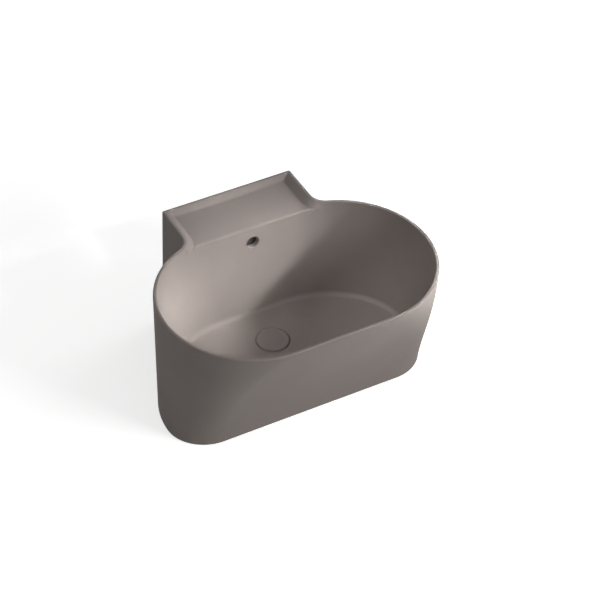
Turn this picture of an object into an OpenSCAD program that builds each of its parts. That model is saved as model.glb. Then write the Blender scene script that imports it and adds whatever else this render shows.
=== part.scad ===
// Wall hung basin: one ceramic casting with an oval bowl and a narrow ledge at the wall, its
// push to open waste with a ceramic cover, and the kit that hangs it on two studs.
// +X is the basin's right seen from the front, +Y goes into the wall, +Z is up.
// The origin is in the wall plane, midway between the two wall studs.

/* [Basin outside] */
// Length of the oval rim, left to right
rim_length = 600; // [580:5:640]
// Width of the oval rim, front to back
rim_width = 390; // [375:5:400]
// Height of the basin
basin_height = 300; // [290:5:320]
// Distance from the wall to the back of the oval rim
wall_reach = 110; // [105:1:120]
// How far each side of the base stands in from the rim
side_set_in = 8.5; // [5:0.5:14]
// How far the front of the base stands back from the front of the rim
front_set_back = 114; // [100:1:125]
// Radius of the base's front corners, measured along the front
base_corner_r = 88; // [70:1:110]
// How the front bends from base to rim: 1 is straight, more stays upright for longer
rake_power = 1.33; // [1:0.01:2]
// How late the corners open out from base to rim
corner_power = 3; // [1:0.1:3]

/* [Rim and walls] */
// Thickness of the wall at the rim
rim_t = 7; // [6:0.5:10]
// Thickness of the skirt around the open underside, and of the back plate
skirt_t = 12; // [10:0.5:15]
// Bevel on the outer edge of the rim
rim_bevel = 2; // [1:0.25:3]
// Bevel on the bottom edge
base_bevel = 1.5; // [0.5:0.25:3]

/* [Ledge] */
// Length of the ledge along the wall
ledge_length = 300; // [286:2:310]
// Depth of the ledge's tray under the rim
ledge_drop = 13; // [9:0.5:16]
// Thickness of the ceramic under the ledge
ledge_t = 12; // [9:0.5:16]
// How far the tray's side slopes run in from the lip
side_slope_run = 15; // [10:0.5:18]
// How far the tray's back slope runs in from the lip
back_slope_run = 6; // [4:0.5:10]
// Radius of the hollow corner where the ledge meets the oval
neck_fillet_r = 35; // [30:1:42]

/* [Bowl] */
// Height of the bowl's floor above the base, at its edge
floor_height = 56; // [54:1:66]
// Fall of the floor to the waste
floor_fall = 2.5; // [1:0.5:4]
// Thickness of the ceramic under the floor's lowest part
floor_t = 9.5; // [8:0.5:12]
// Thickness of the side and front walls at the floor
floor_wall_t = 22; // [18:1:28]
// Thickness of the bowl's back wall at the rim
back_wall_t = 10; // [8:0.5:12]
// How far the back wall leans forward on its way down
back_wall_lean = 6; // [3:1:12]
// How much nearer to the wall the bowl is widest at its floor than at its rim
centre_shift = 15; // [0:1:20]
// Radius of the back corners at the floor, measured along the back
back_corner_r = 205; // [190:1:220]
// Radius of the hollow edge between walls and floor
floor_edge_r = 11; // [6:1:16]

/* [Overflow] */
// Diameter of the overflow hole
overflow_d = 28; // [22:0.5:30]
// Depth of the overflow hole's centre under the rim
overflow_drop = 53; // [45:1:65]
// Width of the overflow channel inside
channel_w = 44; // [36:1:45]
// Depth of the overflow channel inside, front to back
channel_depth = 14; // [10:0.5:18]
// Wall of the overflow channel
channel_wall = 7; // [5:0.5:8]
// Headroom in the channel above the overflow hole
channel_headroom = 2; // [1:0.5:4]

/* [Waste hole] */
// Distance from the foot of the bowl's back wall to the centre of the waste
waste_set_out = 92; // [80:1:110]
// Diameter of the recess that holds the cover
recess_d = 74; // [74:0.5:80]
// Depth of that recess under the floor
recess_depth = 10.5; // [10:0.25:12]
// Diameter of the waste hole
waste_hole_d = 46; // [44.5:0.5:48]
// Diameter of the boss under the floor
boss_d = 96; // [90:1:110]
// Thickness of the boss under the recess
boss_t = 19; // [18:0.5:22]
// Height of the overflow port inside the boss
port_height = 8; // [6:0.5:8]
// Thickness of the boss under the port
port_floor_t = 5; // [4:0.5:6]

/* [Waste] */
// Outer diameter of the waste's threaded tail
tail_d = 41.91; // [41:0.01:43]
// Bore of the tail
tail_bore = 36; // [34:0.5:37]
// Height of the tail's end above the basin's base
tail_end_height = 2; // [1:0.5:4]
// Length of the bevel at the tail's end
tail_bevel = 1; // [0.5:0.25:1.5]
// Width of the groove that ends the tail's free thread under the backnut
tail_groove_w = 1.5; // [1:0.25:2]
// Depth of that groove
tail_groove_depth = 1; // [0.5:0.25:1.5]
// Diameter of the waste's flange
flange_d = 62; // [58:0.5:64]
// Thickness of the flange
flange_t = 2.5; // [2:0.25:3]
// Diameter of the flange's mouth
mouth_d = 44; // [43:0.5:46]
// Depth of the mouth's cone
mouth_depth = 4; // [3.5:0.25:5]
// Length of each overflow window around the tail
window_w = 22; // [16:1:24]
// Height of the overflow windows
window_h = 7; // [5:0.5:7]
// Diameter of the hub that carries the cartridge
carrier_d = 19; // [18:0.5:22]
// Thickness of that hub and its arms
carrier_t = 6; // [5:0.5:7]
// Depth of the hub's upper face under the flange's upper face
carrier_drop = 10; // [9.5:0.5:11]
// Width of the hub's arms
carrier_arm_w = 4; // [3:0.5:5]

/* [Waste seals and nut] */
// Thickness of the gasket under the flange
flange_gasket_t = 1.5; // [1:0.25:2]
// Thickness of the gasket under the basin
lower_gasket_t = 4; // [3:0.25:5]
// Outer diameter of the gasket under the basin
lower_gasket_d = 66; // [60:1:72]
// Height of the lip that centres the lower gasket in the waste hole
gasket_lip_h = 2; // [1:0.25:3]
// Thickness of the slip washer
slip_washer_t = 1.5; // [1:0.25:2]
// Outer diameter of the slip washer
slip_washer_d = 60; // [56:1:66]
// Height of the backnut
backnut_h = 7; // [6:0.25:8]
// Size of the backnut across its corners
backnut_d = 58; // [56:1:66]

/* [Cover] */
// Diameter of the ceramic cover
cover_d = 70; // [63:0.5:70]
// Thickness of the cover at the crest of its raised lip
cover_t = 8; // [7:0.25:8.5]
// Radius of the lip's outer edge
cover_edge_r = 3; // [1.5:0.25:3.5]
// Depth of the dish inside the lip
cover_dish = 1.5; // [0.5:0.25:2]
// Share of the cover's radius that the slope into the dish takes
dish_slope_share = 0.35; // [0.2:0.05:0.8]
// Gap between the cover's underside and the flange when it is shut
cover_gap = 0.5; // [0.3:0.1:1]
// Lift of the cover when it is open
cover_lift = 8; // [6:0.5:8]
// Diameter of the hub under the cover
hub_d = 34; // [30:0.5:35]
// Thickness of the hub under the cover
hub_t = 4; // [3.5:0.25:4.5]
// Diameter of the hub's spigot in the cover
spigot_d = 16; // [14:0.5:20]
// Height of the hub's spigot
spigot_h = 3; // [2:0.25:3.5]

/* [Cartridge] */
// Outer diameter of the cartridge's barrel
barrel_d = 14; // [13.5:0.25:15]
// Bore of the barrel
barrel_bore = 9.6; // [9:0.1:10.5]
// Length of the barrel
barrel_length = 32; // [31:0.5:33]
// Thickness of the barrel's foot
barrel_foot_t = 2; // [1.5:0.25:2.5]
// Size of the barrel's hexagon across its corners
barrel_hex_d = 18; // [17:0.5:18.5]
// Height of the barrel's hexagon
barrel_hex_h = 2; // [1.5:0.25:2.25]
// Thickness of the cap that closes the barrel
cap_t = 1.75; // [1.5:0.25:2]
// Diameter of the plunger's rod
rod_d = 6; // [5:0.25:7]
// Length of the plunger's slider
slider_h = 12; // [11:0.25:12.5]
// Width of the latch groove in the slider
groove_w = 2.2; // [2:0.1:2.6]
// Depth of the latch groove in the slider
groove_depth = 1.6; // [1.4:0.1:1.8]
// Diameter of the latch wire
latch_wire_d = 1.2; // [1:0.1:1.3]
// Length of the latch wire's leg along the barrel
latch_leg = 12; // [8:0.5:14]
// Outer diameter of the spring's coil
spring_d = 8.4; // [7.8:0.1:8.6]
// Diameter of the spring's wire
spring_wire_d = 0.8; // [0.6:0.1:0.9]
// Number of turns of the spring
spring_turns = 4; // [3:0.5:5]

/* [Wall fixing] */
// How far each wall stud stands in from the ledge's end
stud_set_in = 50; // [45:1:60]
// Depth of the wall studs under the rim
stud_drop = 85; // [75:1:110]
// Diameter of the studs' thread for the nut
stud_d = 9.9; // [8:0.1:12]
// Diameter of the studs' thread for the wall
stud_wall_d = 10; // [8.2:0.1:12.2]
// How far the thread for the wall stands out in front of it
stud_shoulder = 1; // [0.5:0.25:1.5]
// Length of each stud in the wall
stud_in_wall = 62; // [50:1:80]
// Length of each stud in front of the wall
stud_out = 38; // [36:1:50]
// Length of the bevel at the front end of a stud
stud_bevel = 1.5; // [0.5:0.25:2]
// Length of the taper at the wall end of a stud
stud_taper = 10; // [6:1:14]
// Diameter of the taper's tip
stud_tip_d = 3; // [2:0.5:5]
// Diameter of the fixing holes in the back plate
fixing_hole_d = 28; // [24:0.5:30]
// Thickness of the sleeve's flange
sleeve_flange_t = 3; // [2:0.25:4]
// Width of the sleeve's flange around the fixing hole
sleeve_flange_w = 4; // [3:0.25:6]
// How far the sleeve stops short of the wall
sleeve_set_in = 2; // [1:0.25:3]
// Diameter of the steel washer
fixing_washer_d = 30; // [26:1:34]
// Thickness of the steel washer
fixing_washer_t = 2.5; // [2:0.25:3]
// Size of the fixing nut across its corners
fixing_nut_d = 19.6; // [18:0.2:24]
// Height of the fixing nut
fixing_nut_h = 8; // [6:0.5:10]

/* [Clearances] */
// Gap around pieces that are pushed through a hole
loose_gap = 0.3; // [0.2:0.05:0.5]
// Gap in a thread, which is drawn as a plain fit
thread_gap = 0.05; // [0.04:0.01:0.08]
// Gap around the pieces that move with the cover
running_gap = 0.3; // [0.2:0.05:0.4]

/* [Hidden] */

// Cuts run past what they cut by this much
overrun = 2;
// Facets of true round parts
round_n = 64;

ceramic_colour = "#80766d";
brass_colour = "#c9b06a";
chrome_colour = "#d4d6d8";
steel_colour = "#a9acb0";
rubber_colour = "#2b2b2b";
nylon_colour = "#e8e6df";
acetal_colour = "#4a4d50";

// The oval rim: a straight middle and two round ends
rim_half = rim_length / 2;
end_r = rim_width / 2;
end_x = rim_half - end_r;
centre_y = -wall_reach - end_r;
neck_half = ledge_length / 2;

// Levels of the open underside and of the plane behind the bowl
underside_height = floor_height - floor_fall - floor_t;
behind_bowl_y = -wall_reach - rim_t + back_wall_t;
ledge_height = basin_height - ledge_drop;

// The waste, from its seat in the recess down
waste_y = -wall_reach - rim_t - back_wall_lean - waste_set_out;
recess_foot = floor_height - floor_fall - recess_depth;
flange_foot = recess_foot + flange_gasket_t;
flange_top = flange_foot + flange_t;
boss_foot = recess_foot - boss_t;
port_foot = boss_foot + port_floor_t;
lower_gasket_foot = boss_foot - lower_gasket_t;
slip_washer_foot = lower_gasket_foot - slip_washer_t;
backnut_foot = slip_washer_foot - backnut_h;

// The cover and its cartridge, with the cover shut
cover_foot = flange_top + cover_gap;
hub_foot = cover_foot - hub_t;
carrier_top = flange_top - carrier_drop;
barrel_top = carrier_top + barrel_hex_h;
barrel_foot = barrel_top - barrel_length;
slider_top = barrel_top - running_gap - cover_lift;
slider_foot = slider_top - slider_h;
slider_r = barrel_bore / 2 - running_gap;
latch_height = (slider_top + slider_foot + cover_lift) / 2;
spring_foot = barrel_foot + barrel_foot_t;
spring_length = slider_foot - spring_foot;

// The wall fixing and the overflow
stud_spacing = ledge_length - 2 * stud_set_in;
stud_height = basin_height - stud_drop;
overflow_height = basin_height - overflow_drop;
channel_top = overflow_height + overflow_d / 2 + channel_headroom;
channel_back = behind_bowl_y + channel_depth;

// Number of points along each stretch of half an outline
back_n = 3;
side_n = 2;
fillet_n = 5;
end_n = 10;
corner_n = 10;
front_n = 3;
neck_n = back_n + side_n + fillet_n;
half_n = neck_n + end_n + corner_n + front_n;

// Levels of the outside, as shares of the basin's height
level_shares = [0.2, 0.4, 0.55, 0.7, 0.82, 0.92];
// Levels of the bowl's wall, as shares of the way from its top to its foot
wall_shares = [0.35, 0.7];
// How far along the bowl's back the ledge's corners and sides come down to it
crest_corner_share = 0.62;
crest_side_share = 0.78;
// Turns of the hollow edge between the bowl's walls and its floor, in degrees
edge_turns = [0, 30, 60, 90];
// Outlines in a turn of the spring, and sides of its wire
turn_rings = 12;
wire_sides = 6;

function mix(a, b, share) = a + (b - a) * share;
function smooth(share) = share * share * (3 - 2 * share);

// Outside sizes at a height, given as a share of the basin's height
function half_at(share) = rim_half - side_set_in * (1 - share);
function end_r_at(share) = half_at(share) - end_x;
function front_at(share) = centre_y - end_r + front_set_back * (1 - pow(share, rake_power));
function corner_r_at(share) = mix(base_corner_r, end_r, pow(share, corner_power));

// The hollow corner between ledge and oval: its centre, and the turn at which it meets the oval
fillet_x = neck_half + neck_fillet_r;
function fillet_y_at(share) =
    centre_y + sqrt(pow(end_r_at(share) + neck_fillet_r, 2) - pow(fillet_x - end_x, 2));
function meet_turn_at(share) = atan2(fillet_y_at(share) - centre_y, fillet_x - end_x);

// Right half of the outline at a height, drawn in by side and, along the wall, by back
function half_outline(share, side, back) =
    let (
        half = half_at(share),
        end = end_r_at(share),
        corner = corner_r_at(share),
        front = front_at(share),
        fillet_y = fillet_y_at(share),
        turn = meet_turn_at(share)
    )
    concat(
        [for (i = [0 : back_n - 1]) [(neck_half - side) * i / back_n, -back]],
        [for (i = [0 : side_n - 1]) [neck_half - side, mix(-back, fillet_y, i / side_n)]],
        [for (i = [0 : fillet_n - 1])
            let (angle = 180 + turn * i / fillet_n)
            [fillet_x + (neck_fillet_r + side) * cos(angle),
             fillet_y + (neck_fillet_r + side) * sin(angle)]],
        [for (i = [0 : end_n - 1])
            let (angle = turn * (1 - i / end_n))
            [end_x + (end - side) * cos(angle), centre_y + (end - side) * sin(angle)]],
        [for (i = [0 : corner_n - 1])
            let (angle = -90 * i / corner_n)
            [half - corner + (corner - side) * cos(angle),
             centre_y + (centre_y - front - side) * sin(angle)]],
        [for (i = [0 : front_n])
            [(half - corner) * (1 - i / front_n), front + side]]
    );

// Places along the bowl's back, from its middle to where the hollow corner meets the oval
back_shares = concat(
    [for (i = [0 : back_n - 1]) crest_corner_share * i / back_n],
    [for (i = [0 : side_n - 1]) mix(crest_corner_share, crest_side_share, i / side_n)],
    [for (i = [0 : fillet_n - 1]) mix(crest_side_share, 1, i / fillet_n)]
);

// Right half of the bowl's outline at a height above the base, drawn in by inset
function half_bowl(z, inset) =
    let (
        share = z / basin_height,
        depth = (basin_height - z) / (basin_height - floor_height),
        wall = mix(rim_t, floor_wall_t, depth),
        half = half_at(share) - wall,
        back = -wall_reach - rim_t - back_wall_lean * depth,
        front = front_at(share) + wall,
        mid = centre_y + centre_shift * depth,
        back_r = mix(end_r - rim_t, back_corner_r, depth),
        back_x = half - back_r,
        corner = corner_r_at(share) - wall,
        turn = meet_turn_at(1),
        meet_x = back_x + (back_r - inset) * cos(turn)
    )
    concat(
        [for (back_share = back_shares)
            let (
                x = meet_x * back_share,
                past = max(0, x - back_x) / (back_r - inset)
            )
            [x, mid + (back - inset - mid) * sqrt(1 - past * past)]],
        [for (i = [0 : end_n - 1])
            let (angle = turn * (1 - i / end_n))
            [back_x + (back_r - inset) * cos(angle), mid + (back - inset - mid) * sin(angle)]],
        [for (i = [0 : corner_n - 1])
            let (angle = -90 * i / corner_n)
            [half - corner + (corner - inset) * cos(angle),
             mid + (mid - front - inset) * sin(angle)]],
        [for (i = [0 : front_n])
            [(half - corner) * (1 - i / front_n), front + inset]]
    );

function raised(points, z) = [for (p = points) [p[0], p[1], z]];

// How much a point belongs to the bowl: 0 on the ledge, 1 on the oval, rising in the corner
function bowl_mix(i) = smooth(max(0, min(1, (i - back_n - side_n) / (fillet_n - 1))));

// The foot of the tray's slopes, which runs out along the bowl's wall
function tray_half() =
    let (
        foot = half_outline(1, rim_t + side_slope_run, rim_t + back_slope_run),
        wall = half_bowl(ledge_height, 0)
    )
    [for (i = [0 : half_n])
        let (p = mix(foot[i], wall[i], bowl_mix(i)))
        [p[0], p[1], ledge_height]];

// The crest between ledge and bowl, which runs down onto the bowl's wall
function crest_half() =
    let (
        crest = half_bowl(ledge_height, 0),
        wall = half_bowl(ledge_height - ledge_drop, 0)
    )
    [for (i = [0 : half_n])
        let (p = mix(crest[i], wall[i], bowl_mix(i)))
        [p[0], p[1], ledge_height - ledge_drop * bowl_mix(i)]];

// A round ring about the waste, its points in line with those of the floor's edge
function waste_ring_half(radius, z) =
    [for (p = half_bowl(floor_height, floor_edge_r))
        let (angle = atan2(p[1] - waste_y, p[0]))
        [radius * cos(angle), waste_y + radius * sin(angle), z]];

// A whole ring from its right half: the left half is the mirror image
function whole_ring(half) =
    concat(half, [for (i = [half_n - 1 : -1 : 1]) [-half[i][0], half[i][1], half[i][2]]]);

// A closed body through a stack of rings, listed from the top down, with a fan across each end.
// The faces of its left half mirror those of its right half.
module ring_body(rings) {
    n = len(rings[0]);
    last = len(rings) - 1;
    top_centre = n * len(rings);
    sides = [for (k = [0 : last - 1]) for (i = [0 : n - 1])
        let (
            j = (i + 1) % n,
            a = k * n + i,
            b = k * n + j,
            c = (k + 1) * n + j,
            d = (k + 1) * n + i
        )
        each i < half_n ? [[a, d, b], [b, d, c]] : [[a, c, b], [a, d, c]]];
    top = [for (i = [0 : n - 1]) [top_centre, i, (i + 1) % n]];
    foot = [for (i = [0 : n - 1]) [top_centre + 1, last * n + (i + 1) % n, last * n + i]];
    polyhedron(
        points = concat(
            [for (ring = rings) each ring],
            [[0, waste_y, rings[0][0][2]], [0, waste_y, rings[last][0][2]]]
        ),
        faces = concat(top, sides, foot),
        convexity = 8
    );
}

// Heights are measured from the basin's base, and the origin is level with the wall studs
module from_base() {
    translate([0, 0, -stud_height]) children();
}

module at_waste(z) {
    translate([0, waste_y, z]) children();
}

// Both wall studs, with Z running from the wall towards the front
module at_studs() {
    for (side = [-1, 1]) {
        translate([side * stud_spacing / 2, 0, stud_height]) rotate([90, 0, 0]) children();
    }
}

// A true ring that stands on z = 0
module ring(outer_d, inner_d, h) {
    difference() {
        cylinder(d = outer_d, h = h, $fn = round_n);
        translate([0, 0, -overrun]) cylinder(d = inner_d, h = h + 2 * overrun, $fn = round_n);
    }
}

// The casting's outside, filled
module outside() {
    levels = concat(
        [[basin_height, rim_bevel], [basin_height - rim_bevel, 0]],
        [for (i = [len(level_shares) - 1 : -1 : 0]) [basin_height * level_shares[i], 0]],
        [[base_bevel, 0], [0, base_bevel]]
    );
    ring_body([for (level = levels)
        whole_ring(raised(half_outline(level[0] / basin_height, level[1], level[1]), level[0]))]);
}

// The space in the ledge's tray and the bowl, down to the floor
module bowl_space() {
    wall_top = ledge_height - ledge_drop - rim_t;
    wall_foot = floor_height + floor_edge_r;
    edge = half_outline(1, rim_t, rim_t);
    ring_body(concat(
        [
            whole_ring(raised(edge, basin_height + overrun)),
            whole_ring(raised(edge, basin_height)),
            whole_ring(tray_half()),
            whole_ring(crest_half()),
            whole_ring(raised(half_bowl(wall_top, 0), wall_top))
        ],
        [for (share = wall_shares)
            let (z = mix(wall_top, wall_foot, share))
            whole_ring(raised(half_bowl(z, 0), z))],
        [for (turn = edge_turns)
            let (z = wall_foot - floor_edge_r * sin(turn))
            whole_ring(raised(half_bowl(z, floor_edge_r * (1 - cos(turn))), z))],
        [whole_ring(waste_ring_half(recess_d / 2 + overrun, floor_height - floor_fall))]
    ));
}

// The open underside, and the space behind the bowl that it leads to
module underside_space() {
    translate([0, 0, -overrun]) linear_extrude(underside_height + overrun)
        polygon([for (p = whole_ring(raised(half_outline(0, skirt_t, skirt_t), 0))) [p[0], p[1]]]);
    translate([-neck_half + skirt_t, behind_bowl_y, -overrun])
        cube([
            ledge_length - 2 * skirt_t,
            -skirt_t - behind_bowl_y,
            ledge_height - ledge_t + overrun
        ]);
}

// A box across the middle from front to back, between two heights
module middle_box(width, front, back, foot, top) {
    translate([-width / 2, front, foot]) cube([width, back - front, top - foot]);
}

// The ceramic around the waste hole and the overflow channel
module boss_and_channel() {
    shell_w = channel_w + 2 * channel_wall;
    shell_back = channel_back + channel_wall;
    at_waste(boss_foot)
        cylinder(d = boss_d, h = underside_height + overrun - boss_foot, $fn = round_n);
    middle_box(shell_w, waste_y, shell_back, boss_foot, underside_height + overrun);
    middle_box(shell_w, behind_bowl_y - overrun, shell_back, boss_foot, channel_top + channel_wall);
}

module waste_and_overflow_holes() {
    at_waste(boss_foot - overrun)
        cylinder(d = waste_hole_d, h = boss_t + 2 * overrun, $fn = round_n);
    at_waste(recess_foot)
        cylinder(d = recess_d, h = recess_depth + floor_fall + overrun, $fn = round_n);
    middle_box(channel_w, waste_y, channel_back, port_foot, port_foot + port_height);
    middle_box(channel_w, behind_bowl_y, channel_back, port_foot, channel_top);
    translate([0, behind_bowl_y + overrun, overflow_height]) rotate([90, 0, 0])
        cylinder(d = overflow_d, h = back_wall_t + back_wall_lean + 2 * overrun, $fn = round_n);
}

module basin_body() {
    color(ceramic_colour) from_base() difference() {
        union() {
            difference() {
                outside();
                bowl_space();
                underside_space();
            }
            boss_and_channel();
        }
        waste_and_overflow_holes();
        at_studs() translate([0, 0, -overrun])
            cylinder(d = fixing_hole_d, h = skirt_t + 2 * overrun, $fn = round_n);
    }
}

module drain_cover() {
    cover_r = cover_d / 2;
    edge_top = cover_t - cover_edge_r;
    slope_n = 6;
    edge_n = 4;
    edge_x = cover_r - cover_edge_r;
    edge = [for (i = [0 : edge_n])
        let (angle = 90 * i / edge_n)
        [edge_x + cover_edge_r * cos(angle), edge_top + cover_edge_r * sin(angle)]];
    slope = [for (i = [1 : slope_n])
        let (share = i / slope_n)
        [edge_x * (1 - dish_slope_share * share), cover_t - cover_dish * smooth(share)]];
    color(ceramic_colour) from_base() at_waste(cover_foot) difference() {
        rotate_extrude($fn = round_n) polygon(concat(
            [[0, 0], [cover_r, 0]], edge, slope, [[0, cover_t - cover_dish]]));
        translate([0, 0, -overrun])
            cylinder(d = spigot_d + 2 * thread_gap, h = spigot_h + loose_gap + overrun, $fn = round_n);
    }
}

module cover_hub() {
    color(brass_colour) from_base() at_waste(hub_foot) difference() {
        union() {
            cylinder(d = hub_d, h = hub_t, $fn = round_n);
            cylinder(d = spigot_d, h = hub_t + spigot_h, $fn = round_n);
        }
        translate([0, 0, -overrun])
            cylinder(d = rod_d + 2 * thread_gap, h = hub_t + spigot_h + 2 * overrun, $fn = round_n);
    }
}

// The seal fills the gap between the hub and the mouth's cone
module cover_seal() {
    mouth_slope = (mouth_d - tail_bore) / 2 / mouth_depth;
    inner_r = hub_d / 2 + thread_gap;
    top_r = mouth_d / 2 - running_gap;
    seal_h = flange_top - hub_foot;
    color(rubber_colour) from_base() at_waste(hub_foot) rotate_extrude($fn = round_n)
        polygon([
            [inner_r, 0],
            [top_r - mouth_slope * seal_h, 0],
            [top_r, seal_h],
            [inner_r, seal_h]
        ]);
}

module cover_plunger() {
    rod_top = cover_foot + spigot_h;
    color(brass_colour) from_base() at_waste(slider_foot) difference() {
        union() {
            cylinder(r = slider_r, h = slider_h, $fn = round_n);
            cylinder(d = rod_d, h = rod_top - slider_foot, $fn = round_n);
        }
        translate([slider_r - groove_depth, -groove_w / 2, -overrun])
            cube([groove_depth + overrun, groove_w, slider_h + 2 * overrun]);
    }
}

module cartridge_barrel() {
    wire_slot = latch_wire_d + 2 * thread_gap;
    color(acetal_colour) from_base() at_waste(0) difference() {
        union() {
            translate([0, 0, barrel_foot])
                cylinder(d = barrel_d, h = barrel_length, $fn = round_n);
            translate([0, 0, carrier_top])
                cylinder(d = barrel_hex_d, h = barrel_hex_h, $fn = 6);
        }
        translate([0, 0, spring_foot])
            cylinder(d = barrel_bore, h = barrel_length + overrun, $fn = round_n);
        translate([0, 0, latch_height]) rotate([0, 90, 0])
            cylinder(d = wire_slot, h = barrel_d, $fn = round_n);
        translate([barrel_d / 2 - wire_slot, -wire_slot / 2, latch_height - latch_leg - wire_slot / 2])
            cube([wire_slot + overrun, wire_slot, latch_leg + wire_slot / 2]);
    }
}

module cartridge_cap() {
    color(acetal_colour) from_base() at_waste(barrel_top)
        ring(barrel_d, rod_d + 2 * running_gap, cap_t);
}

// A bent wire: its tip rides in the slider's groove, its leg lies in a slot down the barrel
module latch_pin() {
    wire_r = latch_wire_d / 2;
    tip_x = slider_r - groove_depth + running_gap;
    leg_x = barrel_d / 2 - wire_r - thread_gap;
    color(steel_colour) from_base() at_waste(latch_height) {
        translate([tip_x, 0, 0]) rotate([0, 90, 0])
            cylinder(d = latch_wire_d, h = leg_x - tip_x, $fn = round_n);
        translate([leg_x, 0, 0]) sphere(d = latch_wire_d, $fn = round_n);
        translate([leg_x, 0, -latch_leg]) cylinder(d = latch_wire_d, h = latch_leg, $fn = round_n);
    }
}

// Outlines of the spring's wire, on a helix from the barrel's foot up to the slider
function spring_ring(i) =
    let (
        angle = 360 * i / turn_rings,
        coil_r = (spring_d - spring_wire_d) / 2,
        end = spring_wire_d / 2 + thread_gap,
        z = mix(end, spring_length - end, i / (spring_turns * turn_rings))
    )
    [for (k = [0 : wire_sides - 1])
        let (
            turn = 360 * k / wire_sides,
            r = coil_r + spring_wire_d / 2 * cos(turn)
        )
        [r * cos(angle), r * sin(angle), z + spring_wire_d / 2 * sin(turn)]];

module cartridge_spring() {
    last = spring_turns * turn_rings;
    n = wire_sides;
    sides = [for (i = [0 : last - 1]) for (k = [0 : n - 1])
        let (
            j = (k + 1) % n,
            a = i * n + k,
            b = i * n + j,
            c = (i + 1) * n + j,
            d = (i + 1) * n + k
        )
        each [[a, b, c], [a, c, d]]];
    color(steel_colour) from_base() at_waste(spring_foot) polyhedron(
        points = [for (i = [0 : last]) each spring_ring(i)],
        faces = concat(
            [[for (k = [n - 1 : -1 : 0]) k]],
            sides,
            [[for (k = [0 : n - 1]) last * n + k]]
        ),
        convexity = 8
    );
}

// Four arms carry the cartridge, between the two overflow windows
module carrier() {
    arm_foot = (barrel_d + carrier_d) / 4;
    arm_end = (tail_bore + tail_d) / 4;
    ring(carrier_d, barrel_d + 2 * thread_gap, carrier_t);
    for (turn = [45, 135, 225, 315]) {
        rotate([0, 0, turn]) translate([arm_foot, -carrier_arm_w / 2, 0])
            cube([arm_end - arm_foot, carrier_arm_w, carrier_t]);
    }
}

module waste_body() {
    window_y = sqrt(pow(tail_bore / 2, 2) - pow(window_w / 2, 2)) - thread_gap;
    window_foot = port_foot + (port_height - window_h) / 2;
    color(chrome_colour) from_base() at_waste(0) {
        difference() {
            rotate_extrude($fn = round_n) polygon([
                [tail_bore / 2, tail_end_height],
                [tail_d / 2 - tail_bevel, tail_end_height],
                [tail_d / 2, tail_end_height + tail_bevel],
                [tail_d / 2, backnut_foot - tail_groove_w],
                [tail_d / 2 - tail_groove_depth, backnut_foot - tail_groove_w],
                [tail_d / 2 - tail_groove_depth, backnut_foot],
                [tail_d / 2, backnut_foot],
                [tail_d / 2, flange_foot],
                [flange_d / 2, flange_foot],
                [flange_d / 2, flange_top],
                [mouth_d / 2, flange_top],
                [tail_bore / 2, flange_top - mouth_depth]
            ]);
            for (turn = [0, 180]) {
                rotate([0, 0, turn]) translate([-window_w / 2, window_y, window_foot])
                    cube([window_w, tail_bore, window_h]);
            }
        }
        translate([0, 0, carrier_top - carrier_t]) carrier();
    }
}

module flange_gasket() {
    color(rubber_colour) from_base() at_waste(recess_foot)
        ring(flange_d, tail_d + 2 * loose_gap, flange_gasket_t);
}

module lower_gasket() {
    color(rubber_colour) from_base() at_waste(lower_gasket_foot) {
        ring(lower_gasket_d, tail_d + 2 * loose_gap, lower_gasket_t);
        ring(waste_hole_d - 2 * loose_gap, tail_d + 2 * loose_gap, lower_gasket_t + gasket_lip_h);
    }
}

module slip_washer() {
    color(nylon_colour) from_base() at_waste(slip_washer_foot)
        ring(slip_washer_d, tail_d + 2 * loose_gap, slip_washer_t);
}

module waste_backnut() {
    color(brass_colour) from_base() at_waste(backnut_foot) difference() {
        cylinder(d = backnut_d, h = backnut_h, $fn = 6);
        translate([0, 0, -overrun])
            cylinder(d = tail_d + 2 * thread_gap, h = backnut_h + 2 * overrun, $fn = round_n);
    }
}

module wall_studs() {
    color(steel_colour) from_base() at_studs() {
        translate([0, 0, -stud_in_wall])
            cylinder(d1 = stud_tip_d, d2 = stud_wall_d, h = stud_taper, $fn = round_n);
        translate([0, 0, stud_taper - stud_in_wall])
            cylinder(d = stud_wall_d, h = stud_in_wall - stud_taper + stud_shoulder, $fn = round_n);
        translate([0, 0, stud_shoulder])
            cylinder(d = stud_d, h = stud_out - stud_bevel - stud_shoulder, $fn = round_n);
        translate([0, 0, stud_out - stud_bevel])
            cylinder(d1 = stud_d, d2 = stud_d - 2 * stud_bevel, h = stud_bevel, $fn = round_n);
    }
}

module fixing_sleeves() {
    color(nylon_colour) from_base() at_studs() difference() {
        union() {
            translate([0, 0, sleeve_set_in])
                cylinder(d = fixing_hole_d - 2 * loose_gap, h = skirt_t - sleeve_set_in, $fn = round_n);
            translate([0, 0, skirt_t])
                cylinder(d = fixing_hole_d + 2 * sleeve_flange_w, h = sleeve_flange_t, $fn = round_n);
        }
        cylinder(d = stud_d + 2 * loose_gap, h = skirt_t + sleeve_flange_t + overrun, $fn = round_n);
    }
}

module fixing_washers() {
    color(steel_colour) from_base() at_studs() translate([0, 0, skirt_t + sleeve_flange_t])
        ring(fixing_washer_d, stud_d + 2 * loose_gap, fixing_washer_t);
}

module fixing_nuts() {
    color(steel_colour) from_base() at_studs()
        translate([0, 0, skirt_t + sleeve_flange_t + fixing_washer_t]) difference() {
            cylinder(d = fixing_nut_d, h = fixing_nut_h, $fn = 6);
            translate([0, 0, -overrun])
                cylinder(d = stud_d + 2 * thread_gap, h = fixing_nut_h + 2 * overrun, $fn = round_n);
        }
}

basin_body();
drain_cover();
cover_hub();
cover_seal();
cover_plunger();
cartridge_barrel();
cartridge_cap();
cartridge_spring();
latch_pin();
waste_body();
flange_gasket();
lower_gasket();
slip_washer();
waste_backnut();
wall_studs();
fixing_sleeves();
fixing_washers();
fixing_nuts();
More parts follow.
